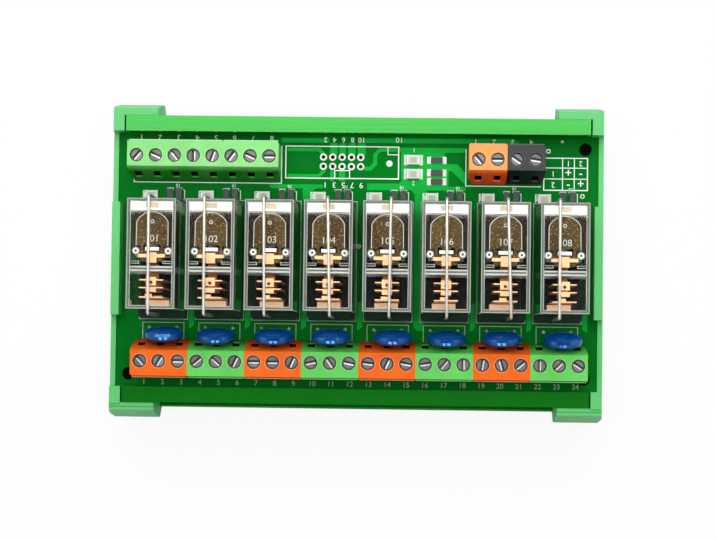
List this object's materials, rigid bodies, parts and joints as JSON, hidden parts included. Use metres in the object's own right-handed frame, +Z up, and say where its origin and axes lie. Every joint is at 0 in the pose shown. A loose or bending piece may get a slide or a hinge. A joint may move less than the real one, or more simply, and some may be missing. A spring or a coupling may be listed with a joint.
{
  "type": "relay interface module",
  "caption": "Row of clear plug-in relays with screw terminals and disc varistors on a circuit board, carried by a green rail-mounted profile with two moulded end feet.",
  "frame": {"origin": "centre of the footprint, on the surface that the feet stand on", "axes": "+X along the carrier, +Y towards the input terminals, +Z up out of the board"},
  "size_m": [0.1332, 0.086, 0.0529],
  "materials": {
    "carrier_plastic": "satin extruded plastic, light green",
    "foot_plastic": "satin moulded plastic, greyer green",
    "board_laminate": "glass-fibre laminate under glossy green lacquer",
    "green_plastic": "semi-gloss moulded plastic",
    "orange_plastic": "semi-gloss moulded plastic",
    "black_plastic": "semi-gloss moulded plastic",
    "screw_steel": "nickel-plated steel",
    "plated_steel": "zinc-plated steel",
    "tinned_brass": "tinned",
    "spring_steel": "bright spring wire",
    "clear_plastic": "clear, polished",
    "ivory_plastic": "ivory moulded plastic",
    "copper_wire": "lacquered copper winding",
    "soft_iron": "plated soft iron",
    "bronze_iron": "yellow-passivated soft iron",
    "copper_alloy": "copper alloy spring strip",
    "blue_coating": "glossy epoxy coating",
    "white_lens": "white moulded body with a clear lens",
    "chip_black": "black moulded body with tinned ends"
  },
  "bodies": {
    "root": {"carrier_profile": "carrier_plastic", "end_foot_left": "foot_plastic", "end_foot_right": "foot_plastic", "circuit_board": "board_laminate", "input_terminal_1": "green_plastic", "input_terminal_2": "green_plastic", "supply_terminal_1": "orange_plastic", "supply_terminal_2": "black_plastic", "output_terminal_1": "orange_plastic", "output_terminal_2": "green_plastic", "output_terminal_3": "orange_plastic", "output_terminal_4": "green_plastic", "output_terminal_5": "orange_plastic", "output_terminal_6": "green_plastic", "output_terminal_7": "orange_plastic", "output_terminal_8": "green_plastic", "terminal_screws": "screw_steel", "wire_clamps": "plated_steel", "terminal_pins": "tinned_brass", "relay_sockets": "black_plastic", "socket_contacts": "tinned_brass", "socket_clips": "spring_steel", "relay_cover_1": "clear_plastic", "relay_cover_2": "clear_plastic", "relay_cover_3": "clear_plastic", "relay_cover_4": "clear_plastic", "relay_cover_5": "clear_plastic", "relay_cover_6": "clear_plastic", "relay_cover_7": "clear_plastic", "relay_cover_8": "clear_plastic", "relay_bases": "ivory_plastic", "relay_bobbins": "ivory_plastic", "relay_coils": "copper_wire", "relay_cores": "soft_iron", "relay_yokes": "soft_iron", "break_contacts": "copper_alloy", "make_contacts": "copper_alloy", "common_terminals": "copper_alloy", "coil_pins": "tinned_brass", "varistors": "blue_coating", "indicator_lights": "white_lens", "chip_resistors": "chip_black", "chip_diodes": "chip_black"},
    "armature_1": {"relay_armature_1": "bronze_iron", "moving_contact_1": "copper_alloy"},
    "armature_2": {"relay_armature_2": "bronze_iron", "moving_contact_2": "copper_alloy"},
    "armature_3": {"relay_armature_3": "bronze_iron", "moving_contact_3": "copper_alloy"},
    "armature_4": {"relay_armature_4": "bronze_iron", "moving_contact_4": "copper_alloy"},
    "armature_5": {"relay_armature_5": "bronze_iron", "moving_contact_5": "copper_alloy"},
    "armature_6": {"relay_armature_6": "bronze_iron", "moving_contact_6": "copper_alloy"},
    "armature_7": {"relay_armature_7": "bronze_iron", "moving_contact_7": "copper_alloy"},
    "armature_8": {"relay_armature_8": "bronze_iron", "moving_contact_8": "copper_alloy"}
  },
  "joints": [
    {"name": "armature_1_pull", "type": "hinge", "parent": "root", "child": "armature_1", "pos_m": [-0.05234, -0.0006, 0.0478], "axis": [1, 0, 0], "range_deg": [-2.6, 0], "stiffness_Nm_per_rad": 0.01, "springref_deg": 11.46},
    {"name": "armature_2_pull", "type": "hinge", "parent": "root", "child": "armature_2", "pos_m": [-0.0371, -0.0006, 0.0478], "axis": [1, 0, 0], "range_deg": [-2.6, 0], "stiffness_Nm_per_rad": 0.01, "springref_deg": 11.46},
    {"name": "armature_3_pull", "type": "hinge", "parent": "root", "child": "armature_3", "pos_m": [-0.02186, -0.0006, 0.0478], "axis": [1, 0, 0], "range_deg": [-2.6, 0], "stiffness_Nm_per_rad": 0.01, "springref_deg": 11.46},
    {"name": "armature_4_pull", "type": "hinge", "parent": "root", "child": "armature_4", "pos_m": [-0.00662, -0.0006, 0.0478], "axis": [1, 0, 0], "range_deg": [-2.6, 0], "stiffness_Nm_per_rad": 0.01, "springref_deg": 11.46},
    {"name": "armature_5_pull", "type": "hinge", "parent": "root", "child": "armature_5", "pos_m": [0.00862, -0.0006, 0.0478], "axis": [1, 0, 0], "range_deg": [-2.6, 0], "stiffness_Nm_per_rad": 0.01, "springref_deg": 11.46},
    {"name": "armature_6_pull", "type": "hinge", "parent": "root", "child": "armature_6", "pos_m": [0.02386, -0.0006, 0.0478], "axis": [1, 0, 0], "range_deg": [-2.6, 0], "stiffness_Nm_per_rad": 0.01, "springref_deg": 11.46},
    {"name": "armature_7_pull", "type": "hinge", "parent": "root", "child": "armature_7", "pos_m": [0.0391, -0.0006, 0.0478], "axis": [1, 0, 0], "range_deg": [-2.6, 0], "stiffness_Nm_per_rad": 0.01, "springref_deg": 11.46},
    {"name": "armature_8_pull", "type": "hinge", "parent": "root", "child": "armature_8", "pos_m": [0.05434, -0.0006, 0.0478], "axis": [1, 0, 0], "range_deg": [-2.6, 0], "stiffness_Nm_per_rad": 0.01, "springref_deg": 11.46}
  ]
}
